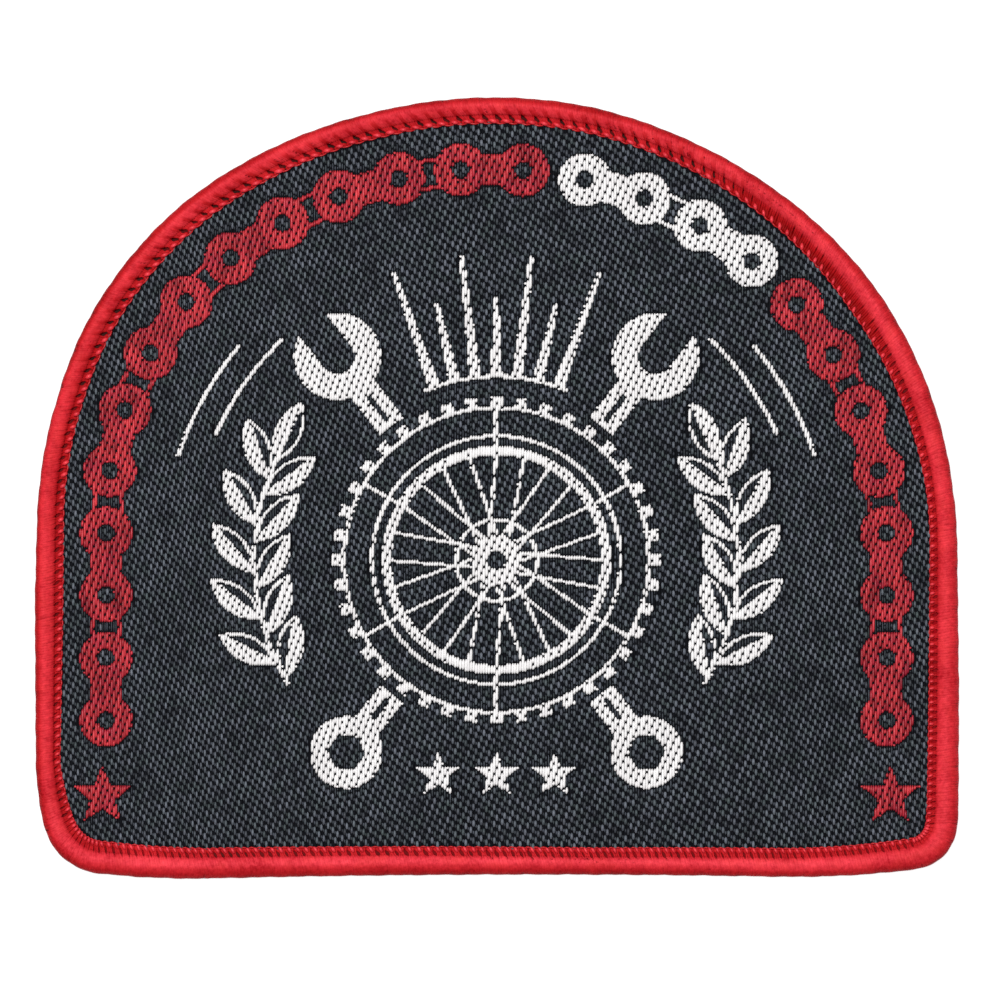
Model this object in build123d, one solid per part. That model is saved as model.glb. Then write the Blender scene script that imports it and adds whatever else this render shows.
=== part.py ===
from build123d import *
import os
from math import atan2, cos, degrees, hypot, radians, sin, sqrt

# Woven patch with an arched top: a stiff cloth ground, a round merrowed border that
# grips its edge, and thin raised figures woven on its face.
# Frame: the patch lies face up, +X to the right of the face, +Y to its top, +Z out of
# the face. The origin is the middle of the outline's box, on the surface it lies on.
# Millimetres throughout. Angles in degrees, counter-clockwise from +X.

# Outline
patch_width = 101.6
patch_height = 85.8
crown_extra = 3.4  # crown radius less half the width
crown_lean = -0.8  # how far the crown's centre stands off the middle line
heel_radius = 98.0  # long curve from the bottom edge into a corner
hip_radius = 32.6  # long curve from a corner into the side
bow_angle = 1.3  # the bottom edge bows inwards between its two feet
# ease: shoulder radius short of half the width; corner: its radius; heel and hip: turns
side_table = {
    "left": {"ease": 5.5, "corner": 6.9, "heel_turn": 5.8, "hip_turn": 13.6},
    "right": {"ease": 2.3, "corner": 5.2, "heel_turn": 7.8, "hip_turn": 5.3},
}

# Cloth and border, in section
cloth_thickness = 1.2
cloth_back_height = 0.3  # the border's underside lifts the cloth's back by this
seam_gap = 0.04  # play between two pieces that lie on each other
edge_cover = 0.3  # thread outside the cloth's edge
flange_thickness = 0.3  # the stitches that lie flat on the face beside the bead
bead_rise = 0.45  # top of the round bead above those stitches
border_width = 3.2

# Woven figures
figure_relief = 0.2
line_width = 0.48
art_gap = 0.7  # bare ground between two figures that nearly meet

# Spoked wheel
wheel_drop = 8.0  # its centre below the middle of the patch
tyre_radius = 17.0
tread_length = 1.0
tread_width = 1.3
tread_count = 40
sidewall_radius = 13.9
rim_radius = 12.6
rim_band = 1.1
stay_count = 6
spoke_count = 24
spoke_width = 0.42
spoke_slant_angle = 26.0
hub_radius = 2.8
hub_bore_radius = 1.0
hub_collar_radius = 4.7

# Spanners that cross behind the wheel
spanner_angle = 52.0
spanner_width = 3.2
spanner_groove = 0.6
jaw_neck = 4.9  # shaft that shows between the wheel and the jaw's head
jaw_radius = 4.8
jaw_opening = 3.8
ring_neck = 4.1
ring_radius = 4.0
ring_bore_radius = 2.1

# Leafy sprigs at the wheel's sides
sprig_offset = 8.6  # from the tread to the twig
sprig_start_angle = -31.0
sprig_end_angle = 25.0
leaf_length = 7.2
leaf_width = 3.0
leaf_splay_angle = 38.0
leaf_pairs = 5

# Rays over the wheel, and motion lines outside the sprigs
ray_offset = 2.2  # from the tread to the arc that the rays stand on
ray_long = 13.4
ray_short = 8.8
ray_width = 1.3
ray_tip_width = 0.5
ray_count = 7
ray_spread_angle = 46.0
motion_offset = 7.2  # from the twig to the first motion line
motion_spacing = 3.0
motion_rows = 2
motion_start_angle = 24.0
motion_end_angle = 46.0
motion_shift_angle = 6.0  # each further line starts and ends this many degrees lower

# Chain along the arch
chain_margin = 1.8  # bare cloth between the border and the chain
chain_pitch = 7.0
plate_radius = 2.9
plate_waist = 3.5
pin_radius = 0.95
white_from = 0.55  # the white stretch, as shares of the chain from its left foot
white_to = 0.71

# Stars
corner_star_radius = 3.4
corner_star_margin = 0.9  # bare cloth at the side of a corner star
corner_star_rise = 2.4  # bare cloth below it
corner_star_gap = 2.0  # bare cloth between it and the chain's foot
foot_star_radius = 2.6
foot_star_count = 3
foot_star_pitch = 6.4
foot_star_gap = 3.0  # below the tread
star_waist = 0.42  # inner radius as a share of the outer

half_width = patch_width / 2
bottom = -patch_height / 2
crown_radius = half_width + crown_extra
crown_centre = (crown_lean, patch_height / 2 - crown_radius)

cloth_top = cloth_back_height + cloth_thickness
slot_back = cloth_back_height - seam_gap
slot_front = cloth_top + seam_gap
figure_base = cloth_top + seam_gap
flange_top = slot_front + flange_thickness
bead_radius = (flange_top + bead_rise) / 2
slot_end = bead_radius - sqrt(bead_radius**2 - (bead_radius - slot_back) ** 2) + edge_cover

wheel_centre = (0.0, -wheel_drop)
tread_radius = tyre_radius + tread_length
behind_radius = tread_radius + art_gap
sprig_radius = tread_radius + sprig_offset
ray_base_radius = tread_radius + ray_offset
star_inset = border_width + corner_star_margin + corner_star_radius
star_height = border_width + corner_star_rise + corner_star_radius
chain_inset = border_width + chain_margin + plate_radius
chain_foot = star_height + corner_star_radius + corner_star_gap + plate_radius

os.makedirs("parts", exist_ok=True)


def polar(centre, radius, angle):
    """Point at an angle on a circle."""
    a = radians(angle)
    return (centre[0] + radius * cos(a), centre[1] + radius * sin(a))


def side_arcs(shape, lean):
    """Foot of a right-hand side, and its arcs up to the crown: centre, radius, two angles."""
    turns = [
        (heel_radius, -bow_angle, shape["heel_turn"]),
        (shape["corner"], shape["heel_turn"], 90 - shape["hip_turn"]),
        (hip_radius, 90 - shape["hip_turn"], 90),
    ]
    run = sum(r * (sin(radians(b)) - sin(radians(a))) for r, a, b in turns)
    foot = (half_width - run, bottom + heel_radius * (1 - cos(radians(bow_angle))))
    arcs = []
    point = foot
    for radius, start, end in turns:
        centre = polar(point, radius, start + 90)
        arcs.append((centre, radius, start - 90, end - 90))
        point = polar(centre, radius, end - 90)
    # the shoulder touches the straight side and the inside of the crown's circle
    ease = shape["ease"]
    rise = sqrt((crown_extra + ease) ** 2 - (ease - lean) ** 2)
    turn = degrees(atan2(rise, ease - lean))
    arcs.append(((ease, crown_centre[1] + rise), half_width - ease, 0, turn))
    return foot, arcs


def mirrored(arcs):
    """The same arcs on the left-hand side, still counter-clockwise."""
    return [((-c[0], c[1]), r, 180 - b, 180 - a) for c, r, a, b in reversed(arcs)]


right_foot, right_arcs = side_arcs(side_table["right"], crown_lean)
left_foot, plain_left_arcs = side_arcs(side_table["left"], -crown_lean)
left_arcs = mirrored(plain_left_arcs)
crown_arc = (crown_centre, crown_radius, right_arcs[-1][3], left_arcs[0][2])
bow_radius = (right_foot[0] + left_foot[0]) / 2 / sin(radians(bow_angle))
bow_centre = polar(right_foot, bow_radius, 270 - bow_angle)


def outline(inset):
    """Closed wire of the patch's outline, moved inwards."""
    ends = [polar(bow_centre, bow_radius + inset, 90 + bow_angle * k) for k in (1, 0, -1)]
    edges = [ThreePointArc(*ends)]
    last = ends[2]
    for centre, radius, start, end in [*right_arcs, crown_arc, *left_arcs]:
        points = [polar(centre, radius - inset, a) for a in (start, (start + end) / 2, end)]
        if hypot(points[0][0] - last[0], points[0][1] - last[1]) > 1e-6:
            edges.append(Line(last, points[0]))
        edges.append(ThreePointArc(*points))
        last = points[2]
    return Wire(edges)


def arch_route(inset, foot_height):
    """The inset outline from a foot on its left side, over the arch, to one on its right."""
    low = bottom + foot_height
    side_x = half_width - inset
    route = [("line", (-side_x, low), (-side_x, left_arcs[0][0][1]))]
    for centre, radius, start, end in (left_arcs[0], crown_arc, right_arcs[-1]):
        route.append(("arc", centre, radius - inset, end, start))
    route.append(("line", (side_x, right_arcs[-1][0][1]), (side_x, low)))
    return route


def stretch_length(stretch):
    """Length of one stretch of a route."""
    if stretch[0] == "line":
        return hypot(stretch[2][0] - stretch[1][0], stretch[2][1] - stretch[1][1])
    return stretch[2] * radians(abs(stretch[4] - stretch[3]))


def along(route, distance):
    """Point on a route at a distance from its start."""
    for stretch in route:
        length = stretch_length(stretch)
        if distance <= length or stretch is route[-1]:
            break
        distance -= length
    share = distance / length
    if stretch[0] == "line":
        a, b = stretch[1], stretch[2]
        return (a[0] + (b[0] - a[0]) * share, a[1] + (b[1] - a[1]) * share)
    return polar(stretch[1], stretch[2], stretch[3] + (stretch[4] - stretch[3]) * share)


def ground_cloth():
    """Stiff woven cloth, cut to the outline a little way inside the border's slot."""
    face = make_face(outline(slot_end + seam_gap))
    return Pos(0, 0, cloth_back_height) * extrude(face, cloth_thickness)


def merrow_border():
    """Round overlocked bead, slotted for the cloth's edge, with flat stitches on both faces."""
    reach = sqrt(bead_radius**2 - (flange_top - bead_radius) ** 2)
    bead = [(bead_radius, 0), (0, bead_radius), (bead_radius + reach, flange_top)]
    corners = [
        bead[2],
        (border_width, flange_top),
        (border_width, slot_front),
        (slot_end, slot_front),
        (slot_end, slot_back),
        (border_width, slot_back),
        (border_width, 0),
        bead[0],
    ]
    edges = [ThreePointArc(*bead)]
    edges += [Line(a, b) for a, b in zip(corners, corners[1:])]
    path = outline(0)
    tangent = path % 0
    inwards = Vector(-tangent.Y, tangent.X, 0)
    plane = Plane(origin=path @ 0, x_dir=inwards, z_dir=inwards.cross(Vector(0, 0, 1)))
    return sweep(plane * make_face(Wire(edges)), path)


def raised(sketch):
    """Woven figure: a flat shape raised on the cloth's face."""
    return Pos(0, 0, figure_base) * extrude(sketch, figure_relief)


def bar(start, end, width):
    """Flat bar between two points."""
    length = hypot(end[0] - start[0], end[1] - start[1])
    angle = degrees(atan2(end[1] - start[1], end[0] - start[0]))
    middle = ((start[0] + end[0]) / 2, (start[1] + end[1]) / 2)
    return Pos(*middle) * Rot(0, 0, angle) * Rectangle(length, width)


def ring(radius, width):
    """Flat ring round the origin, its outer edge at the radius."""
    return Circle(radius) - Circle(radius - width)


def arc_line(centre, radius, start, end):
    """Curved line between two angles, its middle at the radius."""
    half = line_width / 2
    turns = (start, (start + end) / 2, end)
    outer = [polar(centre, radius + half, a) for a in turns]
    inner = [polar(centre, radius - half, a) for a in reversed(turns)]
    edges = [
        ThreePointArc(*outer),
        Line(outer[2], inner[0]),
        ThreePointArc(*inner),
        Line(inner[2], outer[0]),
    ]
    return make_face(Wire(edges))


def spoked_wheel():
    """Tyre with a treaded edge, sidewall line, rim, crossed spokes, collar and hub."""
    flat = ring(tyre_radius, line_width)
    flat += ring(sidewall_radius, line_width)
    flat += ring(rim_radius, rim_band)
    flat += ring(hub_collar_radius, line_width)
    flat += ring(hub_radius, hub_radius - hub_bore_radius)
    tread = bar((tyre_radius - line_width / 2, 0), (tread_radius, 0), tread_width)
    flat += PolarLocations(0, tread_count) * tread
    rim_middle = rim_radius - rim_band / 2
    hub_middle = (hub_radius + hub_bore_radius) / 2
    for slant, first in ((spoke_slant_angle, 0), (-spoke_slant_angle, 360 / spoke_count)):
        spoke = bar(polar((0, 0), hub_middle, slant), (rim_middle, 0), spoke_width)
        flat += PolarLocations(0, spoke_count // 2, first) * spoke
    stay = bar((rim_middle, 0), (tyre_radius - line_width / 2, 0), line_width)
    flat += PolarLocations(0, stay_count, 180 / stay_count) * stay
    return raised(Pos(*wheel_centre) * flat)


def spanner_end(side, head):
    """End of a spanner beyond the wheel's edge: an open jaw above, or a ring below."""
    if head == "jaw":
        angle, neck, radius = spanner_angle, jaw_neck, jaw_radius
    else:
        angle, neck, radius = -spanner_angle, ring_neck, ring_radius
    middle = behind_radius + neck + radius
    flat = Pos((tyre_radius + middle) / 2, 0) * Rectangle(middle - tyre_radius, spanner_width)
    flat += Pos(middle, 0) * Circle(radius)
    if head == "jaw":
        flat -= Pos(middle, 0) * Circle(jaw_opening / 2)
        flat -= Pos(middle + radius, 0) * Rectangle(2 * radius, jaw_opening)
    else:
        flat -= Pos(middle, 0) * RegularPolygon(ring_bore_radius, 6)
    groove = neck - 2 * art_gap
    if groove > 0:
        flat -= Pos(behind_radius + neck / 2, 0) * Rectangle(groove, spanner_groove)
    flat -= Circle(behind_radius)
    if side < 0:
        angle = 180 - angle
    return raised(Pos(*wheel_centre) * Rot(0, 0, angle) * flat)


def leaf():
    """Pointed leaf from the origin along +X, its upper half hollow and its lower half solid."""
    middle = leaf_length / 2
    upper = ThreePointArc((0, 0), (middle, leaf_width / 2), (leaf_length, 0))
    lower = ThreePointArc((leaf_length, 0), (middle, -leaf_width / 2), (0, 0))
    vein = line_width / 2
    start, end = (2 * line_width, vein), (leaf_length - 2 * line_width, vein)
    arch = ThreePointArc(start, (middle, leaf_width / 2 - 0.8 * line_width), end)
    return make_face(Wire([upper, lower])) - make_face(Wire([arch, Line(end, start)]))


def leaf_sprig(side):
    """Curved twig with pairs of leaves, at one side of the wheel."""
    flat = arc_line((0, 0), sprig_radius, sprig_start_angle, sprig_end_angle)
    spacing = (sprig_end_angle - sprig_start_angle) / leaf_pairs
    outer_leaf = leaf()
    inner_leaf = mirror(outer_leaf, Plane.XZ)
    for k in range(leaf_pairs):
        for one_leaf, turn, share in ((inner_leaf, 1, 0.15), (outer_leaf, -1, 0.5)):
            angle = sprig_start_angle + (k + share) * spacing
            foot = polar((0, 0), sprig_radius, angle)
            flat += Pos(*foot) * Rot(0, 0, angle + 90 + turn * leaf_splay_angle) * one_leaf
    tip_angle = sprig_end_angle - degrees(line_width / sprig_radius)
    tip = polar((0, 0), sprig_radius, tip_angle)
    flat += Pos(*tip) * Rot(0, 0, tip_angle + 90) * outer_leaf
    if side < 0:
        flat = mirror(flat, Plane.YZ)
    return raised(Pos(*wheel_centre) * flat)


def sun_rays():
    """Fan of tapered rays that stands on an arc over the wheel, long and short in turn."""
    first = 90 - ray_spread_angle / 2
    flat = arc_line((0, 0), ray_base_radius, first, first + ray_spread_angle)
    for k in range(ray_count):
        end = ray_base_radius + (ray_short if k % 2 else ray_long)
        corners = [
            (ray_base_radius, -ray_width / 2),
            (end, -ray_tip_width / 2),
            (end, ray_tip_width / 2),
            (ray_base_radius, ray_width / 2),
        ]
        ray = make_face(Polyline(*corners, close=True))
        flat += Rot(0, 0, first + (k + 0.5) * ray_spread_angle / ray_count) * ray
    return raised(Pos(*wheel_centre) * flat)


def motion_line(side, row):
    """Thin arc outside a sprig, beside the spanner's jaw."""
    start = motion_start_angle - motion_shift_angle * row
    end = motion_end_angle - motion_shift_angle * row
    if side < 0:
        start, end = 180 - end, 180 - start
    radius = sprig_radius + motion_offset + motion_spacing * row
    return raised(arc_line(wheel_centre, radius, start, end))


def star(centre, radius):
    """Five-pointed star, one point up."""
    radii = (radius, radius * star_waist)
    corners = [polar(centre, radii[k % 2], 90 + 36 * k) for k in range(10)]
    return raised(make_face(Polyline(*corners, close=True)))


def chain_pins():
    """Middles of the chain's pins, evenly spaced from foot to foot over the arch."""
    route = arch_route(chain_inset, chain_foot)
    total = sum(stretch_length(s) for s in route)
    links = 2 * int(total / chain_pitch / 2) + 1
    return [along(route, total * k / links) for k in range(links + 1)]


def chain(first, last):
    """Roller chain between two pins: solid outer plates joined by outlined inner ones."""
    flat = Sketch()
    for k in range(first + 1, last, 2):
        a, b = pins[k], pins[k + 1]
        flat += bar(a, b, plate_waist) - bar(a, b, plate_waist - 2 * line_width)
    for k in range(first, last, 2):
        flat += bar(pins[k], pins[k + 1], plate_waist)
    ends = pins[first : last + 1]
    flat += [Pos(*p) * Circle(plate_radius) for p in ends]
    flat -= [Pos(*p) * Circle(pin_radius) for p in ends]
    return raised(flat)


pins = chain_pins()
last_pin = len(pins) - 1
white_first = 2 * round(white_from * last_pin / 2)
white_last = max(2 * round(white_to * last_pin / 2) - 1, white_first + 1)

nodes = {
    "ground_cloth": ground_cloth(),
    "merrow_border": merrow_border(),
    "spoked_wheel": spoked_wheel(),
    "sun_rays": sun_rays(),
    "chain_red_left": chain(0, white_first - 1),
    "chain_white": chain(white_first, white_last),
    "chain_red_right": chain(white_last + 1, last_pin),
}
for side, word in ((-1, "left"), (1, "right")):
    nodes["spanner_jaw_" + word] = spanner_end(side, "jaw")
    nodes["spanner_ring_" + word] = spanner_end(side, "ring")
    nodes["leaf_sprig_" + word] = leaf_sprig(side)
    for row in range(motion_rows):
        nodes[f"motion_line_{word}_{row + 1}"] = motion_line(side, row)
    star_place = (side * (half_width - star_inset), bottom + star_height)
    nodes["corner_star_" + word] = star(star_place, corner_star_radius)
for k in range(foot_star_count):
    star_x = (k - (foot_star_count - 1) / 2) * foot_star_pitch
    star_y = wheel_centre[1] - tread_radius - foot_star_gap - foot_star_radius
    nodes[f"foot_star_{k + 1}"] = star((star_x, star_y), foot_star_radius)

for name, shape in nodes.items():
    export_step(shape, f"parts/{name}.step")
    size = shape.bounding_box().size
    print(name, len(shape.solids()), "solid,", round(shape.volume, 2), "mm3,", size)
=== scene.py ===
from math import atan2, cos, degrees, pi, radians, sin, sqrt

import bpy
import numpy as np
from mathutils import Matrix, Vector


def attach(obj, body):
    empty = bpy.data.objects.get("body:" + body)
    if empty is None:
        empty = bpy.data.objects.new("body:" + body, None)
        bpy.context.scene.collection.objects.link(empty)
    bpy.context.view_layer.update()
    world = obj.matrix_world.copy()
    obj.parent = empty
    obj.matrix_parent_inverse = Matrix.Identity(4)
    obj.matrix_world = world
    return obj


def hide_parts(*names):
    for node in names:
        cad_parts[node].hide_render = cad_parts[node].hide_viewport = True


# Woven patch with a merrowed border, dressed around its CAD solids: the cloth's satin
# weave, the figures' floats and the border's wrapped stitches are built as threads.
# Lengths in this file are millimetres until a mesh is made, and angles are degrees.

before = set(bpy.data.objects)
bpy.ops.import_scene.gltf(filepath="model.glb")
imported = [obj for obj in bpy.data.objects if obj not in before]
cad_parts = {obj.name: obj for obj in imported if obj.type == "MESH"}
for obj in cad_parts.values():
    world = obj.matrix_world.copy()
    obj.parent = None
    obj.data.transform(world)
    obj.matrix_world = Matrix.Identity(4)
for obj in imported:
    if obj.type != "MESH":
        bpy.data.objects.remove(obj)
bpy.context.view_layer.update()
rng = np.random.default_rng(21)
MM = 0.001

# Outline, as the CAD source draws it
half_width = 50.8
top_y = 42.9
bottom_y = -42.9
crown_extra = 3.4
crown_lean = -0.8
heel_radius = 98.0
hip_radius = 32.6
bow_angle = 1.3
right_shape = {"ease": 2.3, "corner": 5.2, "heel_turn": 7.8, "hip_turn": 5.3}
left_shape = {"ease": 5.5, "corner": 6.9, "heel_turn": 5.8, "hip_turn": 13.6}
crown_radius = half_width + crown_extra
crown_centre = (crown_lean, top_y - crown_radius)

# Heights of the CAD solids
cloth_top = 1.5
figure_top = 1.74
bead_radius = 1.145

# Loom: thread columns run up the patch, and a float dives in each eighth row. The columns
# are beaten closer at the sides: place across the patch and distance between columns.
column_places = [-46, -38, -33, -27, -18, -11, -4, 12, 21, 26, 30, 35, 46]
column_pitches = [
    0.253, 0.235, 0.222, 0.250, 0.254, 0.270, 0.286, 0.281, 0.301, 0.310, 0.279, 0.256, 0.253,
]
row = 0.2275
satin_repeat = 8
satin_step = 3


def loom_columns():
    """Place of each thread column, and the distance between columns there."""
    x = np.arange(-half_width, half_width, 0.01)
    pitch = np.interp(x, column_places, column_pitches)
    number = np.cumsum(0.01 / pitch)
    place = np.interp(np.arange(1, int(number[-1]) + 1), number, x)
    return place, np.interp(place, column_places, column_pitches)


column_x, column_pitch = loom_columns()


def polar(centre, radius, angle):
    """Point at an angle on a circle."""
    a = radians(angle)
    return (centre[0] + radius * cos(a), centre[1] + radius * sin(a))


def side_arcs(shape, lean):
    """Foot of a right-hand side, and its arcs up to the crown: centre, radius, two angles."""
    turns = [
        (heel_radius, -bow_angle, shape["heel_turn"]),
        (shape["corner"], shape["heel_turn"], 90 - shape["hip_turn"]),
        (hip_radius, 90 - shape["hip_turn"], 90),
    ]
    run = sum(r * (sin(radians(b)) - sin(radians(a))) for r, a, b in turns)
    foot = (half_width - run, bottom_y + heel_radius * (1 - cos(radians(bow_angle))))
    arcs = []
    point = foot
    for radius, start, end in turns:
        centre = polar(point, radius, start + 90)
        arcs.append((centre, radius, start - 90, end - 90))
        point = polar(centre, radius, end - 90)
    ease = shape["ease"]
    rise = sqrt((crown_extra + ease) ** 2 - (ease - lean) ** 2)
    turn = degrees(atan2(rise, ease - lean))
    arcs.append(((ease, crown_centre[1] + rise), half_width - ease, 0, turn))
    return foot, arcs


def outline_table():
    """Points of the outline counter-clockwise from its left foot, with inward normals."""
    right_foot, right_arcs = side_arcs(right_shape, crown_lean)
    left_foot, plain_left = side_arcs(left_shape, -crown_lean)
    left_arcs = [((-c[0], c[1]), r, 180 - b, 180 - a) for c, r, a, b in reversed(plain_left)]
    crown = (crown_centre, crown_radius, right_arcs[-1][3], left_arcs[0][2])
    bow_radius = (right_foot[0] + left_foot[0]) / 2 / sin(radians(bow_angle))
    bow_centre = polar(right_foot, bow_radius, 270 - bow_angle)
    spacing = 0.05
    points, normals = [], []
    arcs = [(bow_centre, bow_radius, 90 + bow_angle, 90 - bow_angle), *right_arcs, crown, *left_arcs]
    for centre, radius, start, end in arcs:
        side = 1 if end > start else -1
        count = int(abs(radians(end - start)) * radius / spacing) + 2
        turn = np.radians(np.linspace(start, end, count))
        ray = np.stack([np.cos(turn), np.sin(turn)], 1)
        new = np.array(centre) + radius * ray
        if points:
            gap = new[0] - points[-1][-1]
            steps = int(np.hypot(*gap) / spacing)
            if steps:
                share = np.linspace(0, 1, steps + 2)[1:-1, None]
                points.append(points[-1][-1] + share * gap)
                normals.append(np.repeat(normals[-1][-1:], steps, 0))
        points.append(new[(1 if points else 0):])
        normals.append(-side * ray[(1 if len(normals) else 0):])
    points, normals = np.concatenate(points), np.concatenate(normals)
    steps = np.hypot(*(points[1:] - points[:-1]).T)
    return points, normals, np.concatenate([[0], np.cumsum(steps)])


edge_points, edge_normals, edge_way = outline_table()
edge_length = edge_way[-1]


def on_edge(way):
    """Point and inward normal at a way along the outline."""
    w = np.mod(way, edge_length)
    p = np.stack([np.interp(w, edge_way, edge_points[:, k]) for k in (0, 1)], -1)
    n = np.stack([np.interp(w, edge_way, edge_normals[:, k]) for k in (0, 1)], -1)
    return p, n


# How the border was sewn, stretch by stretch: way along the outline from its left foot,
# stitch length, border width, depth at which the dark slots between stitches open, share
# of the stitch that a slot takes, lean of the threads across the border, how far the bead
# is pulled in from the drawn outline, depth of the bead's crest, how much painted shade
# darkens its outer side, and the thread's painted brightness, a painted highlight for
# its sheen that is strongest along the bottom.
station_columns = ("pitch", "width", "slot", "gap", "lean", "tuck", "crest", "rim", "level")
stations = [
    (0, 0.80, 3.30, 2.06, 0.42, 0.50, -0.15, 1.42, 0.39, 1.00),
    (20, 1.08, 3.15, 2.02, 0.48, 0.50, -0.11, 1.40, 0.44, 1.02),
    (42, 0.80, 3.02, 1.72, 0.42, 0.48, -0.03, 1.37, 0.44, 1.02),
    (66, 0.80, 3.34, 1.88, 0.38, 0.42, 0.07, 1.37, 0.40, 1.00),
    (82, 0.90, 3.62, 2.45, 0.36, 0.30, -0.01, 1.45, 0.24, 0.94),
    (100, 0.76, 3.34, 2.24, 0.50, 0.15, -0.08, 1.36, 0.12, 0.88),
    (122, 1.24, 3.18, 2.12, 0.46, 0.30, 0.18, 1.25, 0.14, 0.88),
    (138, 1.12, 3.50, 2.00, 0.34, 0.42, -0.01, 1.14, 0.24, 0.91),
    (146, 1.02, 3.64, 1.56, 0.10, 0.50, -0.10, 1.04, 0.34, 0.93),
    (162, 1.24, 3.28, 1.54, 0.12, 0.65, 0.08, 0.98, 0.36, 0.91),
    (172, 1.40, 3.00, 1.58, 0.42, 0.76, 0.06, 0.94, 0.36, 0.89),
    (184, 1.46, 2.86, 1.56, 0.46, 0.78, -0.12, 0.87, 0.40, 0.88),
    (208, 1.52, 3.10, 1.72, 0.46, 0.82, 0.14, 0.87, 0.40, 0.88),
    (232, 1.50, 3.00, 1.70, 0.46, 0.78, -0.11, 0.87, 0.42, 0.86),
    (248, 1.53, 3.10, 1.78, 0.44, 0.72, 0.08, 0.90, 0.44, 0.82),
    (257, 1.56, 3.32, 1.96, 0.38, 0.66, 0.42, 0.93, 0.46, 0.79),
    (266, 1.36, 3.34, 2.02, 0.36, 0.56, 0.40, 0.93, 0.44, 0.80),
    (280, 1.16, 3.24, 2.04, 0.38, 0.46, 0.03, 0.92, 0.40, 0.83),
    (298, 0.98, 2.92, 2.00, 0.36, 0.42, 0.14, 1.06, 0.40, 0.86),
    (306, 0.92, 3.64, 2.12, 0.32, 0.42, 0.12, 1.28, 0.38, 0.94),
    (314, 0.86, 3.63, 2.02, 0.34, 0.42, -0.06, 1.41, 0.40, 1.00),
]
station_way, *station_values = np.array(stations, float).T
sewn = dict(zip(station_columns, station_values))


def sewing(name, way):
    """One of the border's measures at a way along the outline."""
    ways = np.concatenate([station_way, [edge_length]])
    values = np.concatenate([sewn[name], sewn[name][:1]])
    return np.interp(np.mod(way, edge_length), ways, values)


def smooth(t):
    """Eased step from 0 to 1."""
    t = np.clip(t, 0, 1)
    return t * t * (3 - 2 * t)


# Meshes


def make_piece(name, points, quads, tris, material, strand=None, tone=None):
    """Smooth-shaded mesh from points in millimetres, quads and triangles."""
    mesh = bpy.data.meshes.new(name)
    mesh.vertices.add(len(points))
    mesh.vertices.foreach_set("co", (np.asarray(points) * MM).astype(np.float32).ravel())
    corners = np.concatenate([quads.ravel(), tris.ravel()]).astype(np.int32)
    starts = np.concatenate([4 * np.arange(len(quads)), 4 * len(quads) + 3 * np.arange(len(tris))])
    mesh.loops.add(len(corners))
    mesh.loops.foreach_set("vertex_index", corners)
    mesh.polygons.add(len(starts))
    mesh.polygons.foreach_set("loop_start", starts.astype(np.int32))
    mesh.polygons.foreach_set("use_smooth", np.ones(len(starts), bool))
    if strand is not None:
        held = mesh.attributes.new("strand", "FLOAT_VECTOR", "POINT")
        held.data.foreach_set("vector", strand.astype(np.float32).ravel())
        # tone: a factor multiplied into the thread's colour; along the border's wrapped threads it
        # carries painted shade and painted light
        shade = np.ones(len(points)) if tone is None else tone
        held = mesh.attributes.new("tone", "FLOAT", "POINT")
        held.data.foreach_set("value", shade.astype(np.float32))
    mesh.update(calc_edges=True)
    mesh.materials.append(material)
    piece = bpy.data.objects.new(name, mesh)
    bpy.context.scene.collection.objects.link(piece)
    return piece


def threads(name, lines, normals, across, lift, sides, material, tip=None, tone=None):
    """Closed threads along lines: (threads, rings, 3), flattened to half-widths across and lift."""
    count, rings = lines.shape[:2]
    heading = np.gradient(lines, axis=1)
    heading /= np.linalg.norm(heading, axis=2, keepdims=True) + 1e-12
    side = np.cross(heading, normals)
    side /= np.linalg.norm(side, axis=2, keepdims=True) + 1e-12
    up = np.cross(side, heading)
    turn = 2 * pi * (np.arange(sides) + 0.5) / sides - pi / 2
    body = (
        lines[:, :, None]
        + (across[:, :, None] * np.cos(turn))[..., None] * side[:, :, None]
        + (lift[:, :, None] * np.sin(turn))[..., None] * up[:, :, None]
    )
    step = np.linalg.norm(np.diff(lines, axis=1), axis=2)
    length = np.concatenate([np.zeros((count, 1)), np.cumsum(step, 1)], 1)
    reach = (lift[:, [0, -1]] * 0.8 if tip is None else np.full((count, 2), tip))[..., None]
    tips = np.stack([
        lines[:, 0] - heading[:, 0] * reach[:, 0],
        lines[:, -1] + heading[:, -1] * reach[:, 1],
    ], 1)
    points = np.concatenate([body.reshape(count, -1, 3), tips], 1)
    size = rings * sides + 2
    luck = rng.random(count)
    strand = np.zeros((count, size, 3))
    strand[:, :-2, 0] = np.tile((np.arange(sides) / sides), rings)
    strand[:, :-2, 1] = np.repeat(length, sides, axis=1)
    strand[:, -2, 1] = 0
    strand[:, -1, 1] = length[:, -1]
    strand[:, -2:, 0] = 0.5
    strand[:, :, 2] = luck[:, None]
    shade = np.ones((count, rings)) if tone is None else tone
    shade = np.concatenate([np.repeat(shade, sides, axis=1), shade[:, [0, -1]]], 1)
    ring = np.arange(rings - 1)[:, None] * sides
    k = np.arange(sides)[None]
    n = (k + 1) % sides
    quad = np.stack([ring + k, ring + n, ring + sides + n, ring + sides + k], -1).reshape(-1, 4)
    last = (rings - 1) * sides
    k, n = k[0], n[0]
    cap = np.concatenate([
        np.stack([n, k, np.full(sides, size - 2)], -1),
        np.stack([last + k, last + n, np.full(sides, size - 1)], -1),
    ])
    base = (np.arange(count) * size)[:, None, None]
    return make_piece(
        name,
        points.reshape(-1, 3),
        (quad[None] + base).reshape(-1, 4),
        (cap[None] + base).reshape(-1, 3),
        material,
        strand.reshape(-1, 3),
        shade.ravel(),
    )


# Materials


def add_node(tree, kind, **inputs):
    """Node with some of its inputs set or linked."""
    made = tree.nodes.new("ShaderNode" + kind)
    for key, value in inputs.items():
        socket = made.inputs[key.replace("_", " ")]
        if isinstance(value, bpy.types.NodeSocket):
            tree.links.new(value, socket)
        else:
            socket.default_value = value
    return made


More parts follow.
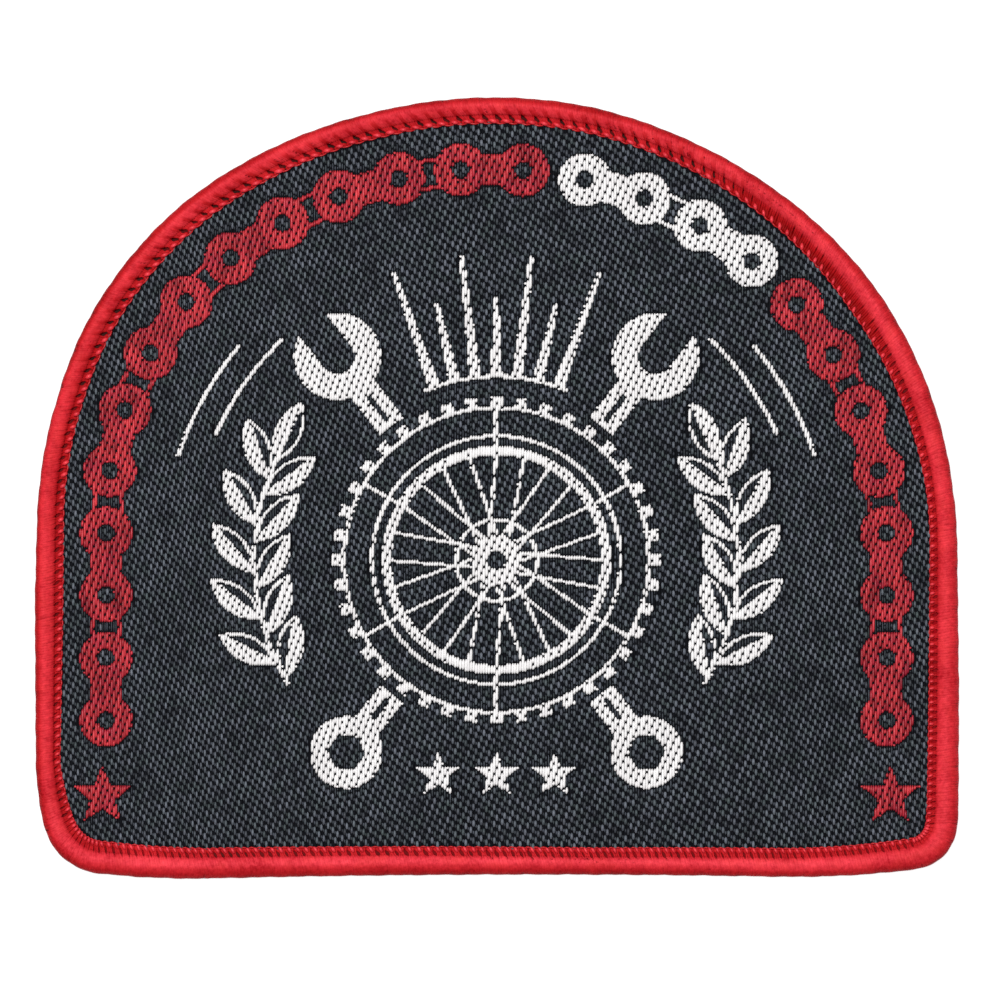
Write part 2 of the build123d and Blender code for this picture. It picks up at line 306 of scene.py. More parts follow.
def maths(tree, operation, a, b=0.5, c=0.5):
    """Output of a Math node."""
    made = tree.nodes.new("ShaderNodeMath")
    made.operation = operation
    for socket, value in zip(made.inputs, (a, b, c)):
        if isinstance(value, bpy.types.NodeSocket):
            tree.links.new(value, socket)
        else:
            socket.default_value = value
    return made.outputs[0]


def mix_colour(tree, share, a, b):
    """Output of a colour mix."""
    made = tree.nodes.new("ShaderNodeMix")
    made.data_type = "RGBA"
    for socket, value in zip((made.inputs[0], made.inputs[6], made.inputs[7]), (share, a, b)):
        if isinstance(value, bpy.types.NodeSocket):
            tree.links.new(value, socket)
        else:
            socket.default_value = value if isinstance(value, (int, float)) else (*value, 1)
    return made.outputs[2]


def thread_material(name, dark, light, tint, roughness, gloss, streak, mottle, fibres, bump, patch):
    """Spun thread: fibres along it, thread-to-thread variation and slow drift of colour."""
    material = bpy.data.materials.new(name)
    material.use_nodes = True
    tree = material.node_tree
    shader = tree.nodes["Principled BSDF"]
    strand = add_node(tree, "Attribute")
    strand.attribute_name = "strand"
    parts = add_node(tree, "SeparateXYZ", Vector=strand.outputs["Vector"])
    around, along, luck = parts.outputs
    place = add_node(
        tree, "CombineXYZ",
        X=maths(tree, "MULTIPLY", around, fibres),
        Y=maths(tree, "MULTIPLY", along, 1.6),
        Z=maths(tree, "MULTIPLY", luck, 91.0),
    )
    fibre = add_node(tree, "TexNoise", Vector=place.outputs[0], Scale=1.0, Detail=3.0, Roughness=0.6)
    coords = add_node(tree, "TexCoord")
    drift = add_node(tree, "TexNoise", Vector=coords.outputs["Object"], Scale=260.0, Detail=3.0)
    hue = add_node(tree, "TexNoise", Vector=coords.outputs["Object"], Scale=620.0, Detail=1.0)
    speck = add_node(tree, "TexNoise", Vector=coords.outputs["Object"], Scale=2900.0, Detail=3.0)
    level = maths(tree, "MULTIPLY_ADD", maths(tree, "SUBTRACT", luck, 0.5), streak, 0.5)
    level = maths(tree, "MULTIPLY_ADD", maths(tree, "SUBTRACT", fibre.outputs[0], 0.5), 0.7, level)
    level = maths(tree, "MULTIPLY_ADD", maths(tree, "SUBTRACT", speck.outputs[0], 0.5), mottle, level)
    level = maths(tree, "MULTIPLY_ADD", maths(tree, "SUBTRACT", drift.outputs[0], 0.5), 1.2, level)
    colour = mix_colour(tree, level, dark, light)
    tone = maths(tree, "MULTIPLY", maths(tree, "SUBTRACT", hue.outputs[0], 0.42), patch * 6)
    tinted = mix_colour(tree, tone, colour, tint)
    # The tone attribute multiplies the colour, deepening green and blue faster than red; along the
    # border's wrapped threads this paints shade and light into the colour.
    shade = add_node(tree, "Attribute")
    shade.attribute_name = "tone"
    deep = maths(tree, "POWER", shade.outputs["Fac"], 2.7)
    shading = add_node(tree, "CombineColor", Red=shade.outputs["Fac"], Green=deep, Blue=deep)
    shaded = mix_colour(tree, 1.0, tinted, shading.outputs[0])
    shaded.node.blend_type = "MULTIPLY"
    tree.links.new(shaded, shader.inputs["Base Color"])
    shader.inputs["Roughness"].default_value = roughness
    shader.inputs["Specular IOR Level"].default_value = gloss
    relief = add_node(tree, "Bump", Strength=bump, Distance=0.03 * MM, Height=fibre.outputs[0])
    tree.links.new(relief.outputs[0], shader.inputs["Normal"])
    return material


def cloth_material():
    """Cloth under the ground's threads, near-black, and its back, a dark grey twill painted lighter
    than the front: painted light for the unlit back.
    """
    material = bpy.data.materials.new("woven_ground")
    material.use_nodes = True
    tree = material.node_tree
    shader = tree.nodes["Principled BSDF"]
    coords = add_node(tree, "TexCoord")
    parts = add_node(tree, "SeparateXYZ", Vector=coords.outputs["Object"])
    x, y, _ = parts.outputs
    column = 0.27
    per_column = 2 * pi / (column * MM)
    per_repeat = 2 * pi / (row * MM) / satin_repeat
    ribs = maths(tree, "SINE", maths(tree, "MULTIPLY", x, per_column))
    up = maths(tree, "MULTIPLY", y, per_repeat)
    slant = maths(tree, "MULTIPLY_ADD", x, -satin_step * per_repeat * row / column, up)
    twill = maths(tree, "SINE", slant)
    grain = add_node(tree, "TexNoise", Vector=coords.outputs["Object"], Scale=4000.0, Detail=2.0)
    height = maths(tree, "MULTIPLY_ADD", ribs, 0.5, maths(tree, "MULTIPLY", twill, 0.35))
    height = maths(tree, "MULTIPLY_ADD", grain.outputs[0], 0.4, height)
    share = maths(tree, "MULTIPLY_ADD", height, 0.3, 0.3)
    depths = mix_colour(tree, share, (0.0014, 0.0014, 0.002), (0.011, 0.012, 0.016))
    # painted light: the back is a lighter grey than the front so that the unlit back still shows its
    # twill
    back = mix_colour(tree, share, (0.008, 0.009, 0.012), (0.075, 0.082, 0.100))
    facing = add_node(tree, "SeparateXYZ", Vector=coords.outputs["Normal"])
    painted_light_underside = maths(tree, "LESS_THAN", facing.outputs["Z"], -0.5)
    colour = mix_colour(tree, painted_light_underside, depths, back)
    tree.links.new(colour, shader.inputs["Base Color"])
    shader.inputs["Roughness"].default_value = 0.9
    shader.inputs["Specular IOR Level"].default_value = 0.04
    relief = add_node(tree, "Bump", Strength=0.8, Distance=0.06 * MM, Height=height)
    tree.links.new(relief.outputs[0], shader.inputs["Normal"])
    return material


red_border = thread_material(
    "red_border_thread",
    dark=(0.46, 0.012, 0.022), light=(0.92, 0.059, 0.083), tint=(0.90, 0.070, 0.064),
    roughness=0.5, gloss=0.04, streak=0.10, mottle=1.2, fibres=3.0, bump=0.5, patch=0.12,
)
red_rope = thread_material(
    "red_edge_thread",
    dark=(0.58, 0.020, 0.034), light=(0.88, 0.055, 0.075), tint=(0.84, 0.07, 0.11),
    roughness=0.42, gloss=0.25, streak=0.5, mottle=0.4, fibres=3.0, bump=0.4, patch=0.15,
)
# dark red under-thread: its darkness is partly its own colour and partly painted shade, standing for
# the shade in the eyelets and between the wraps
red_core_shaded_dark = thread_material(
    "red_under_thread_shaded_dark",
    dark=(0.034, 0.010, 0.009), light=(0.27, 0.002, 0.006), tint=(0.09, 0.014, 0.012),
    roughness=0.9, gloss=0.03, streak=1.0, mottle=0.3, fibres=8.0, bump=0.3, patch=0.1,
)
white_thread = thread_material(
    "white_figure_thread",
    dark=(0.74, 0.72, 0.72), light=(0.88, 0.865, 0.86), tint=(0.80, 0.76, 0.78),
    roughness=0.55, gloss=0.3, streak=0.5, mottle=0.2, fibres=3.0, bump=0.5, patch=0.12,
)
red_thread = thread_material(
    "red_figure_thread",
    dark=(0.15, 0.003, 0.009), light=(0.66, 0.042, 0.055), tint=(0.38, 0.016, 0.05),
    roughness=0.45, gloss=0.35, streak=0.6, mottle=0.3, fibres=3.0, bump=0.5, patch=0.2,
)
grain_thread = thread_material(
    "grey_grain_thread",
    dark=(0.030, 0.034, 0.042), light=(0.128, 0.142, 0.171), tint=(0.070, 0.096, 0.094),
    roughness=0.5, gloss=0.25, streak=0.9, mottle=0.3, fibres=3.0, bump=0.5, patch=0.3,
)
dark_thread = thread_material(
    "dark_float_thread",
    dark=(0.018, 0.020, 0.026), light=(0.061, 0.069, 0.088), tint=(0.037, 0.052, 0.047),
    roughness=0.6, gloss=0.2, streak=0.9, mottle=0.3, fibres=3.0, bump=0.5, patch=0.3,
)


def finish_piece(piece, slot, *nodes):
    """Rides the patch's one body and stands for CAD nodes, which it hides; its slot is not used."""
    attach(piece, "root")
    if nodes:
        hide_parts(*nodes)


# Merrowed border

thread_pitch = 0.27  # of the wrapped threads, along the outline
thread_half = 0.055  # half the thickness of a wrapped thread
thread_overlap = 3.2  # a wrapped thread's width in pitches, so that neighbours overlap
back_rings = [(2.9, 0.13), (2.0, 0.12)]  # depth and height of a thread's start on the back
bead_turns = [-90, -130, 180, 155, 130, 108]  # round the bead's outside, from below to above
fall_shares = (0.0, 0.27, 0.5, 0.69, 0.84, 0.95, 1.0)  # of the way from crest to valley
flat_rings = ((0.78, 1.575), (0.56, 1.57), (0.36, 1.56), (0.18, 1.55))  # from the edge, height
under_rings = len(back_rings) + len(bead_turns)
eyelet_lean = 0.92  # share of the threads' lean that is reached where the eyelets are
core_sections = 320


def stitch_ways():
    """Way along the outline of each stitch, a whole number of them round the patch."""
    step = 0.05
    way = np.arange(0, edge_length, step)
    rate = np.concatenate([[0], np.cumsum(step / sewing("pitch", way))])
    count = int(round(rate[-1]))
    rate *= count / rate[-1]
    ways = np.interp(np.arange(count), rate, np.concatenate([way, [edge_length]]))
    return ways + rng.uniform(-0.03, 0.03, count)


def stitch_lengths(ways):
    """Length of each stitch along the outline."""
    return np.concatenate([ways[1:], [ways[0] + edge_length]]) - ways


def share_out(ways):
    """For every wrapped thread: its way, its stitch's way, its place in it and its length."""
    base, middle, spread, length = [], [], [], []
    for here, pitch in zip(ways, stitch_lengths(ways)):
        count = max(3, int(round(pitch / thread_pitch)))
        share = (np.arange(count) + 0.5) / count - 0.5
        base.append(here + pitch * share)
        middle.append(np.full(count, here))
        spread.append(pitch * share)
        length.append(np.full(count, pitch))
    return [np.concatenate(held) for held in (base, middle, spread, length)]


def on_border(way, depth, height):
    """Points at a way, a depth in from the outline and a height, with inward normals."""
    point, normal = on_edge(way)
    return np.concatenate([point + depth[..., None] * normal, height[..., None]], -1), normal


def upward(lines):
    """Normals that point straight up, one for each point of some lines."""
    return np.broadcast_to((0.0, 0.0, 1.0), lines.shape)


def valley(slot, width):
    """Depth at which the bead meets the flat stitches."""
    return (slot + width) / 2 - 0.35


def wrap_profile(here, on_arch, closed):
    """Depth and height of each wrapped thread's rings, from the back over the bead."""
    count = len(on_arch)
    squareness = 2 / 2.2
    radius = bead_radius - thread_half
    crest_depth = here["crest"]
    depth = [np.full((count, 1), d) for d, _ in back_rings]
    height = [np.full((count, 1), z) for _, z in back_rings]
    for turn in np.radians(bead_turns):
        aside, aloft = abs(cos(turn)) ** squareness, abs(sin(turn)) ** squareness
        rise = (radius if sin(turn) > 0 else -radius) * aloft
        depth.append(crest_depth - (crest_depth - thread_half) * aside)
        height.append(np.full((count, 1), bead_radius + rise))
    crest = 2 * bead_radius - thread_half
    valley_depth = valley(here["slot"], here["width"])
    valley_height = 1.60 + 0.08 * on_arch
    power = np.interp(crest_depth, (0.85, 1.4), (1.9, 2.3))
    gentle = np.maximum(0.3 + 0.1 * on_arch, 0.75 * closed)
    for share in fall_shares:
        round_fall = (1 - share**power) ** (1 / power)
        eased_fall = 0.5 + 0.5 * cos(pi * share**1.4)
        fall = round_fall + gentle * (eased_fall - round_fall)
        depth.append(crest_depth + (valley_depth - crest_depth) * share)
        height.append(valley_height + (crest - valley_height) * fall)
    last_inset = flat_rings[-1][0]
    for inset, level in flat_rings:
        depth.append(here["width"] - inset)
        height.append(level + (inset - last_inset) * 0.2 * on_arch)
    return np.concatenate(depth, 1), np.concatenate(height, 1)


def wrap_painted_shading(here, depth, on_top, on_arch, closed, parting):
    """Painted brightness along each wrapped thread: painted shade on the bead's outer side, in the
    valley and on the thread ends beside the slots, painted light at the outer edge, and the station's
    painted highlight.
    """
    slot, crest_depth = here["slot"], here["crest"]
    # painted shade on the bead's outer side, which faces away from the light, scaled per station,
    # times the station's painted highlight level
    painted_flank_shade = 1 - smooth((depth / crest_depth - 0.40) / 0.52)
    tone = here["level"] * (1 - here["rim"] * painted_flank_shade)
    # painted light on the outermost half-millimetre where the crest lies deep
    painted_edge_light = np.interp(crest_depth, (1.2, 1.4), (0, 1))
    tone = tone * (1 + 0.10 * painted_edge_light * (1 - smooth(depth / 0.5)))
    # painted shade in the valley between the bead and the flat stitches, heavier where the stitches
    # close up
    from_valley = depth - valley(slot, here["width"])
    painted_groove_shade = smooth((from_valley + 0.5 - 0.1 * on_arch) / (0.8 + 0.15 * closed))
    tone = tone * np.where(on_top, 1 - (0.40 + 0.26 * closed - 0.08 * on_arch) * painted_groove_shade, 1)
    # painted shade on the arch's thread ends beside the slots, most on threads far from their
    # stitch's middle
    painted_slot_shade = smooth((depth - slot + 0.75) / 0.6) * (1 - smooth((depth - slot - 0.2) / 0.3))
    return tone * np.where(on_top, 1 - 0.55 * on_arch * parting**3 * painted_slot_shade, 1)


def border_wraps(ways):
    """Threads wrapped over the bead, gathered stitch by stitch on the inner side."""
    base, middle, spread, length = share_out(ways)
    count = len(base)
    base = base + rng.uniform(-0.025, 0.025, count)
    first_half = (base % edge_length) < edge_length / 2
    base, middle, spread, length = (held[:, None] for held in (base, middle, spread, length))
    here = {name: sewing(name, base) for name in sewn}
    slot, width, gap = here["slot"], here["width"], here["gap"]
    lean = here["lean"] * rng.uniform(0.94, 1.06, (count, 1))
    tuck = here["tuck"] + 0.02 * np.sin(base * 1.3) + 0.02 * np.sin(base * 2.9 + 1)
    on_arch = np.interp(here["lean"], (0.6, 0.78), (0, 1))
    closed = np.interp(gap, (0.12, 0.35), (1, 0))
    depth, height = wrap_profile(here, on_arch, closed)
    rings = depth.shape[1]
    on_top = np.arange(rings) >= under_rings

    # Threads of a stitch draw together over the slot and lean along the border
    opening = np.clip((depth - slot) / (width - 0.28 + 0.04 * on_arch - slot), 0, 1)
    drawn_in = np.sin(pi * opening ** (1 + 0.6 * on_arch)) ** (0.7 + 0.2 * on_arch)
    drawn_in = np.where(on_top, drawn_in, 0)
    leaning = np.clip((depth - slot + 0.4) / (width - slot + 0.1), 0, 1) ** 1.15
    leaning = np.where(on_top, leaning, 0)
    sweep = np.interp(here["lean"], (0.4, 0.75), (0.15, 0.42))
    way = base + (middle + spread * (1 - gap) - base) * drawn_in
    way = way - lean * leaning + sweep * np.where(on_top, 1 - smooth((depth - 0.6) / 1.3), 1)

    # Each thread wanders a little and none lies quite as high or as far out as its neighbour
    wander = rng.uniform(0, 2 * pi, (count, 1)) + depth * 2.1
    way = way + 0.035 * np.sin(wander) * (height > bead_radius)
    height = height + rng.uniform(-0.008, 0.0, (count, 1)) * (height > 1)
    depth = depth + tuck * (1 - np.clip(depth / width, 0, 1))
    depth = depth + rng.uniform(0, 0.012, (count, 1))
    lines, normal = on_border(way, depth, height)

    d_depth = np.gradient(depth, axis=1)
    d_height = np.gradient(height, axis=1)
    size = np.hypot(d_depth, d_height) + 1e-9
    facing = np.concatenate([(-d_height / size)[..., None] * normal, (d_depth / size)[..., None]], -1)
    taper = np.ones(rings)
    taper[[0, -1]] = 0.6
    narrowed = (1 - gap * drawn_in) * (1 - 0.55 * drawn_in)
    across = 0.5 * thread_pitch * thread_overlap * narrowed * taper
    lift = np.ones((count, 1)) * thread_half * taper
    parting = np.abs(spread / length) * 2
    # painted shade and painted light along each thread, carried in its tone attribute
    tone = wrap_painted_shading(here, depth, on_top, on_arch, closed, parting)
    for side, part in (("right", first_half), ("left", ~first_half)):
        piece = threads(
            "border_stitches_" + side, lines[part], facing[part], across[part], lift[part], 5,
            red_border, tone=tone[part],
        )
        finish_piece(piece, "border_thread", "merrow_border")


def border_teeth(ways):
    """Bright ends of the stitches, each slung between two of the border's dark eyelets."""
    count = len(ways)
    width, lean = (sewing(name, ways)[:, None] for name in ("width", "lean"))
    share = np.linspace(-1, 1, 5)
    steep = np.interp(lean, (0.15, 0.3, 0.6, 0.78), (84, 66, 52, 14))
    turn = np.radians(steep + rng.uniform(-6, 6, (count, 1)))
    half_length = np.interp(lean, (0.15, 0.6, 0.8), (0.26, 0.34, 0.40))
    reach = half_length * rng.uniform(0.9, 1.1, (count, 1)) * share
    way = ways[:, None] - eyelet_lean * lean - reach * np.cos(turn)
    depth = width - 0.36 + reach * np.sin(turn)
    height = 1.74 - 0.09 * share**2 + rng.uniform(-0.02, 0.02, (count, 1))
    lines, _ = on_border(way, depth, height)
    taper = np.array([0.55, 0.9, 1.05, 0.95, 0.6])
    thick = np.interp(stitch_lengths(ways)[:, None], (0.75, 1.5), (0.165, 0.25))
    across = thick * taper * rng.uniform(0.85, 1.1, (count, 1))
    tone = np.full(across.shape, 0.89)
    piece = threads(
        "border_stitch_ends", lines, upward(lines), across, across * 0.8, 6, red_rope, tone=tone)
    finish_piece(piece, "border_thread", "merrow_border")


def border_edge_thread(ways):
    """Thin thread along the border's inner edge that loops round each dark eyelet."""
    spacing = 0.16
    way = np.arange(0, edge_length + 0.3, spacing)[None]
    width, lean = (sewing(name, way) for name in ("width", "lean"))
    known = np.concatenate([[ways[-1] - edge_length], ways, [ways[0] + edge_length]])
    beat = np.interp(way + eyelet_lean * lean, known, np.arange(-1, len(ways) + 1))
    bow = np.interp(lean, (0.2, 0.6, 0.8), (0.04, 0.06, 0.05))
    depth = width - 0.11 - bow * np.cos(2 * pi * (beat + 0.08))
    height = 1.60 - 0.035 * np.cos(2 * pi * beat)
    lines, _ = on_border(way, depth, height)
    across = 0.085 - 0.02 * np.cos(2 * pi * beat)
    tone = np.full(across.shape, 0.52)
    piece = threads(
        "border_edge_thread", lines, upward(lines), across, across, 5, red_rope, tone=tone)
    finish_piece(piece, "border_thread", "merrow_border")


def border_core():
    """Packed thread inside the bead and under the stitches' ends, dark between them; its dark red is
    partly the under-thread's colour and partly painted shade for the eyelets and the gaps between the
    wraps.
    """
    way = np.linspace(0, edge_length, core_sections, endpoint=False)[:, None]
    width, slot, tuck, crest = (sewing(name, way) for name in ("width", "slot", "tuck", "crest"))
    inner = bead_radius - 0.2
    turns = np.radians(np.linspace(90, 270, 9))
    section = [(bead_radius + inner * cos(a), bead_radius + inner * sin(a)) for a in turns]
    section += [(2.8, bead_radius - inner), (2.8, 0.24), (0.8, 0.25), (0.8, cloth_top - 0.03)]
    section = [(np.full((core_sections, 1), d), z) for d, z in section]
    valley_depth = valley(slot, width)
    section += [
        (width - 0.16, cloth_top - 0.03),
        (width - 0.16, cloth_top + 0.02),
        (valley_depth, cloth_top + 0.02),
        (crest + 0.3 * (valley_depth - crest), cloth_top + 0.43),
    ]
    depth = np.concatenate([d for d, _ in section], 1)
    depth = depth + tuck * (1 - np.clip(depth / 3.2, 0, 1))
    height = np.broadcast_to([z for _, z in section], depth.shape)
    points = on_border(way, depth, height)[0].reshape(-1, 3)
    size = len(section)
    i = np.arange(core_sections)[:, None] * size
    j = np.roll(np.arange(core_sections), -1)[:, None] * size
    k = np.arange(size)[None]
    n = (k + 1) % size
    quads = np.stack([i + k, j + k, j + n, i + n], -1).reshape(-1, 4)
    # the core's colour by the threads' lean: lighter red where they lean little, darker on the arch
    # where they lean most
    luck = np.interp(sewing("lean", way[:, 0]), (0.20, 0.45, 0.70), (0.9, 0.55, 0.12))
    strand = np.zeros((len(points), 3))
    strand[:, 0] = np.tile(np.arange(size) / size, core_sections)
    strand[:, 1] = np.repeat(way[:, 0], size)
    strand[:, 2] = np.repeat(luck, size)
    piece = make_piece("border_core", points, quads, np.zeros((0, 3), int), red_core_shaded_dark, strand)
    finish_piece(piece, "border_thread", "merrow_border")


# Woven figures


def column_spans(node):
    """Stretches of each thread column that a figure's top face covers: {column: [(low, high)]}."""
    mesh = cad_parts[node].data
    mesh.calc_loop_triangles()
    points = np.empty(len(mesh.vertices) * 3)
    mesh.vertices.foreach_get("co", points)
    points = points.reshape(-1, 3) / MM
    corners = np.empty(len(mesh.loop_triangles) * 3, int)
    mesh.loop_triangles.foreach_get("vertices", corners)
    triangles = points[corners.reshape(-1, 3)]
    top = points[:, 2].max()
    flat = triangles[(np.abs(triangles[..., 2] - top) < 0.01).all(1)][..., :2]
    spans = {}
    for triangle in flat:
        first = np.searchsorted(column_x, triangle[:, 0].min())
        last = np.searchsorted(column_x, triangle[:, 0].max())
        for k in range(first, last):
            x = column_x[k]
            found = []
            for a, b in ((0, 1), (1, 2), (2, 0)):
                (ax, ay), (bx, by) = triangle[a], triangle[b]
                if ax != bx and (ax - x) * (bx - x) <= 0:
                    found.append(ay + (by - ay) * (x - ax) / (bx - ax))
            if len(found) > 1:
                spans.setdefault(k, []).append((min(found), max(found)))
    for k, held in spans.items():
        held.sort()
        joined = [list(held[0])]
        for low, high in held[1:]:
            if low <= joined[-1][1] + 0.02:
                joined[-1][1] = max(joined[-1][1], high)
            else:
                joined.append([low, high])
        spans[k] = joined
    return spans


def woven(spans):
    """Floats of a figure: its spans set to whole rows and cut where a float dives."""
    half_dive = 0.12
    floats = []
    for k in sorted(spans):
        for low, high in spans[k]:
            first, last = round(low / row), round(high / row)
            if last <= first:
                if high - low < 0.5 * row:
                    continue
                last = first + 1
            start = first * row
            for j in range(first + 1, last - 1):
                if (j - satin_step * k) % satin_repeat == 0 and last - first > 5:
                    dive = (j + 0.5) * row
                    if dive - start > 0.3:
                        floats.append((k, start, dive - half_dive))
                        start = dive + half_dive
            if last * row - start > 0.08:
                floats.append((k, start, last * row))
    return np.array(floats)


def float_threads(name, floats, material):
    """Rounded floats that rise from the cloth and dive back: (column, low end, high end) each."""
    count = len(floats)
    k, low, high = floats.T
    k = k.astype(int)
    fullness = 0.57  # half-width of a float, in column distances
    half_width_shape = fullness * np.array([0.50, 0.85, 1.0, 1.0, 0.55])
    rise_shape = np.array([0.15, 0.62, 1.0, 1.0, 0.35])
    lift_shape = np.array([0.7, 0.9, 1.0, 1.0, 0.7])
    thick = 0.115
    deep = cloth_top - 0.04
    ease = np.minimum(0.26, 0.42 * (high - low))
    ways = np.stack([low + 0.02, low + 0.4 * ease + 0.02, low + ease, high - ease, high - 0.02], 1)
    swing = rng.uniform(-0.02, 0.02, (count, 1)) + np.linspace(-0.5, 0.5, 5) * 0.05
    rise = (figure_top - thick - deep) * rise_shape * rng.uniform(0.9, 1.06, (count, 1))
    lines = np.stack([column_x[k, None] + swing, ways, deep + rise], -1)
    across = column_pitch[k, None] * half_width_shape * rng.uniform(0.93, 1.05, (count, 1))
    lift = thick * lift_shape * np.ones((count, 1))
    return threads(name, lines, upward(lines), across, lift, 5, material)


white_nodes = [
    "spoked_wheel", "sun_rays", "chain_white",
    "spanner_jaw_left", "spanner_jaw_right", "spanner_ring_left", "spanner_ring_right",
    "leaf_sprig_left", "leaf_sprig_right",
    "motion_line_left_1", "motion_line_left_2", "motion_line_right_1", "motion_line_right_2",
    "foot_star_1", "foot_star_2", "foot_star_3",
]
red_nodes = ["chain_red_left", "chain_red_right", "corner_star_left", "corner_star_right"]
figure_colours = (
    (white_nodes, white_thread, "white_thread"),
    (red_nodes, red_thread, "red_thread"),
)


def figures():
    """Threads of each woven figure, and every span that a figure covers."""
    covered = {}
    for nodes, material, slot in figure_colours:
        for node in nodes:
            spans = column_spans(node)
            for k, held in spans.items():
                covered.setdefault(k, []).extend(held)
            piece = float_threads(node + "_threads", woven(spans), material)
            finish_piece(piece, slot, node)
    return covered


# Ground

figure_room = 0.03  # kept from a figure along the same column
grain = {"rows_up": 0, "half": 0.42, "side_room": -0.27}
dark_float = {"rows_up": 3.72, "half": 0.24, "side_room": -0.22}
shortest_fill = 0.34
longest_fill = 1.2


def border_depth(x, y):
    """How far points lie inside the border's inner edge."""
    coarse = slice(None, None, 5)
    batch = 2000
    clear = np.empty(len(x))
    for start in range(0, len(x), batch):
        part = slice(start, start + batch)
        dx = x[part, None] - edge_points[None, coarse, 0]
        dy = y[part, None] - edge_points[None, coarse, 1]
        near = np.argmin(dx**2 + dy**2, 1)
        n = edge_normals[coarse][near]
        own = np.arange(len(near))
        inward = dx[own, near] * n[:, 0] + dy[own, near] * n[:, 1]
        clear[part] = inward - sewing("width", edge_way[coarse][near])
    return clear


def lattice(rows_up):
    """Columns and heights of the satin's binding points, moved up by a number of rows."""
    columns = np.arange(len(column_x))
    rows = np.arange(int(bottom_y / row) - 2, int(top_y / row) + 3)
    k, j = (v.ravel() for v in np.meshgrid(columns, rows))
    tied = (j - satin_step * k) % satin_repeat == 0
    return k[tied], (j[tied] + 0.5 + rows_up) * row


def is_free(covered, k, low, high, side_room):
    """Whether a stretch of a column keeps its distance from the figures."""
    for step, margin in ((0, figure_room), (-1, side_room), (1, side_room)):
        for a, b in covered.get(k + step, ()):
            if low < b + margin and high > a - margin:
                return False
    return True


def laid_threads(covered, taken, rows_up, half, side_room):
    """Stretches of one kind of ground thread that lie clear of the figures and the border."""
    k, y = lattice(rows_up)
    inside = border_depth(column_x[k], y) > -0.02
    held = []
    for ki, yi in zip(k[inside], y[inside]):
        low, high = yi - half, yi + half
        if is_free(covered, ki, low, high, side_room):
            held.append((ki, low, high))
            taken.setdefault(ki, []).append((low, high))
    return held


def fill_threads(covered, taken):
    """Stretches that close the gaps between a figure and the next ground thread."""
    fill = []
    for k, spans in covered.items():
        spans = [tuple(span) for span in spans]
        marks = sorted(spans + taken.get(k, []))
        for (_, low), (high, _) in zip(marks[:-1], marks[1:]):
            by_figure = any(abs(low - b) < 1e-6 or abs(high - a) < 1e-6 for a, b in spans)
            if not by_figure or high - low < shortest_fill:
                continue
            parts = max(1, round((high - low) / longest_fill))
            step = (high - low) / parts
            for n in range(parts):
                fill.append((k, low + n * step + 0.05, low + (n + 1) * step - 0.05))
    return fill


def short_threads(name, held, material, crest, width, sides, reach, drop):
    """Small spindle-shaped threads of the ground: (column, low end, high end) each."""
    count = len(held)
    k, low, high = np.array(held).T
    k = k.astype(int)
    share = np.array([-1.0, 0.0, 1.0])
    middle = (low + high) / 2 + rng.uniform(-0.035, 0.035, count)
    half = (high - low) / 2 - reach
    way = middle[:, None] + half[:, None] * share
    swing = rng.uniform(-0.022, 0.022, (count, 1)) - 0.006 * share
    lift = 0.1
    tops = crest - lift - drop * share**2 + rng.uniform(-0.02, 0.015, (count, 1))
    lines = np.stack([column_x[k, None] + swing, way, tops], -1)
    spindle = np.array([0.8, 1.0, 0.8])
    luck = rng.uniform(0.88, 1.08, (count, 1))
    across = 0.5 * width * column_pitch[k, None] * spindle * luck
    lifts = np.full((count, 3), lift)
    piece = threads(name, lines, upward(lines), across, lifts, sides, material, reach)
    finish_piece(piece, "ground_thread")


def ground(covered):
    """Grey grains of the satin and the dark floats between them, clear of the figures."""
    taken = {}
    grains = laid_threads(covered, taken, **grain)
    dark_floats = laid_threads(covered, taken, **dark_float)
    fill = fill_threads(covered, taken)
    middle = len(column_x) // 2
    left = [held for held in grains if held[0] < middle]
    right = [held for held in grains if held[0] >= middle]
    tall = {"crest": 1.67, "width": 1.55, "sides": 4, "reach": 0.15, "drop": 0.03}
    short_threads("ground_grains_left", left, grain_thread, **tall)
    short_threads("ground_grains_right", right, grain_thread, **tall)
    short_threads("ground_floats", dark_floats, dark_thread, 1.60, 1.45, 3, 0.09, 0.03)
    short_threads("ground_fill", fill, dark_thread, 1.61, 1.05, 3, 0.08, 0.02)


ways = stitch_ways()
border_wraps(ways)
border_teeth(ways)
border_edge_thread(ways)
border_core()
ground(figures())

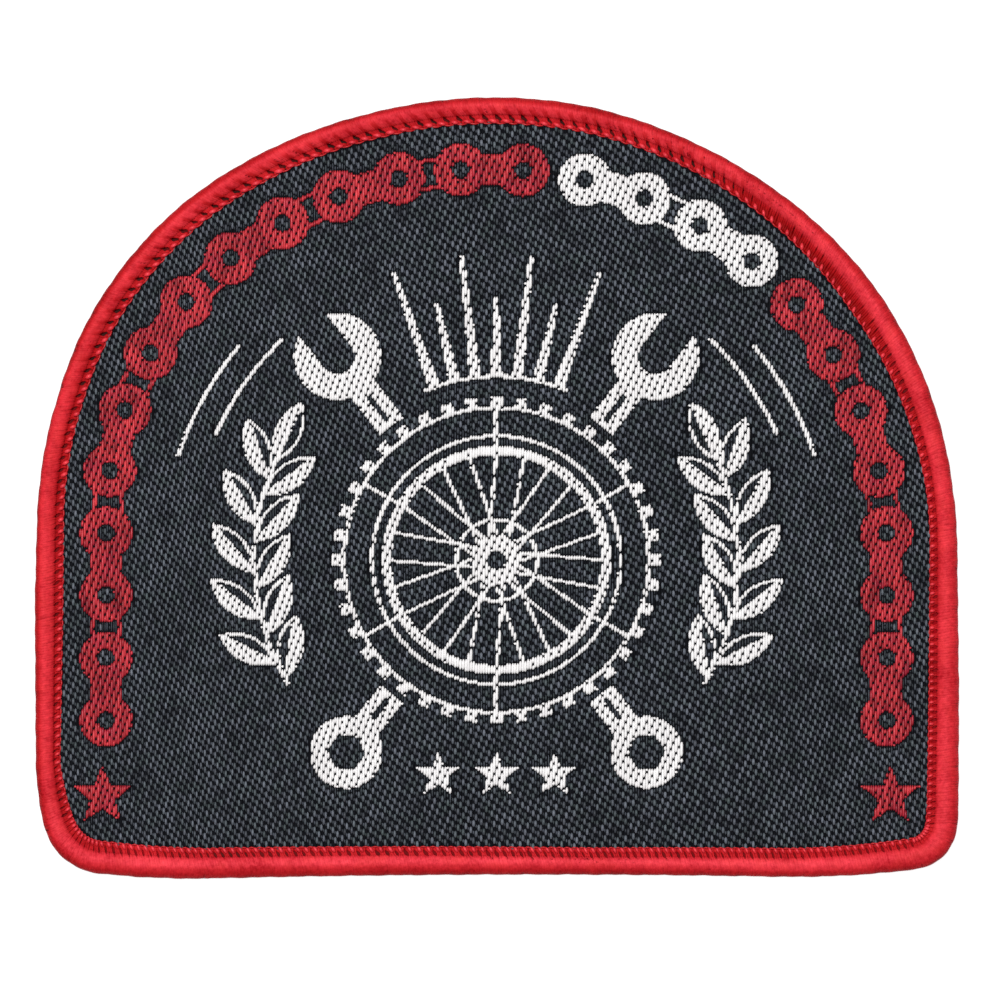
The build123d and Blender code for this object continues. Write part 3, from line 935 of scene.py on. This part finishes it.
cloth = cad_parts["ground_cloth"]
cloth.data.materials.clear()
cloth.data.materials.append(cloth_material())

# Floor, light and camera


def floor():
    """Plain white ground just under the patch."""
    half = 1500.0
    drop = 0.02
    corners = [(-half, -half, -drop), (half, -half, -drop), (half, half, -drop), (-half, half, -drop)]
    material = bpy.data.materials.new("floor")
    material.use_nodes = True
    shader = material.node_tree.nodes["Principled BSDF"]
    shader.inputs["Base Color"].default_value = (0.15, 0.15, 0.15, 1)
    shader.inputs["Roughness"].default_value = 1.0
    shader.inputs["Specular IOR Level"].default_value = 0.0
    shader.inputs["Emission Color"].default_value = (1, 1, 1, 1)
    shader.inputs["Emission Strength"].default_value = 0.97
    quads = np.array([[0, 1, 2, 3]])
    make_piece("floor", corners, quads, np.zeros((0, 3), int), material)


def area_light(name, place, target, size, power):
    """Soft square white light that looks at a point, in metres and watts."""
    data = bpy.data.lights.new(name, "AREA")
    data.shape = "SQUARE"
    data.size = size
    data.energy = power
    light = bpy.data.objects.new(name, data)
    light.location = Vector(place)
    light.rotation_euler = (Vector(target) - Vector(place)).to_track_quat("-Z", "Y").to_euler()
    bpy.context.scene.collection.objects.link(light)


floor()
area_light("key", place=(-0.16, 0.27, 1.08), target=(0, 0, 0), size=0.40, power=15.8)
world = bpy.data.worlds.new("studio")
world.use_nodes = True
background = world.node_tree.nodes["Background"]
background.inputs["Color"].default_value = (1, 1, 1, 1)
background.inputs["Strength"].default_value = 0.10
bpy.context.scene.world = world
bpy.context.scene.view_settings.view_transform = "Standard"

view_width = 109.45  # of the photograph's longer side, at the height of the patch's face
face_height = 1.6
camera_height = 1000.0
camera_place = (0.12, -1.16)
camera_data = bpy.data.cameras.new("camera")
camera_data.sensor_width = 36.0
camera_data.lens = camera_data.sensor_width * (camera_height - face_height) / view_width
camera_data.clip_end = 10
camera = bpy.data.objects.new("camera", camera_data)
camera.location = (camera_place[0] * MM, camera_place[1] * MM, camera_height * MM)
bpy.context.scene.collection.objects.link(camera)
bpy.context.scene.camera = camera
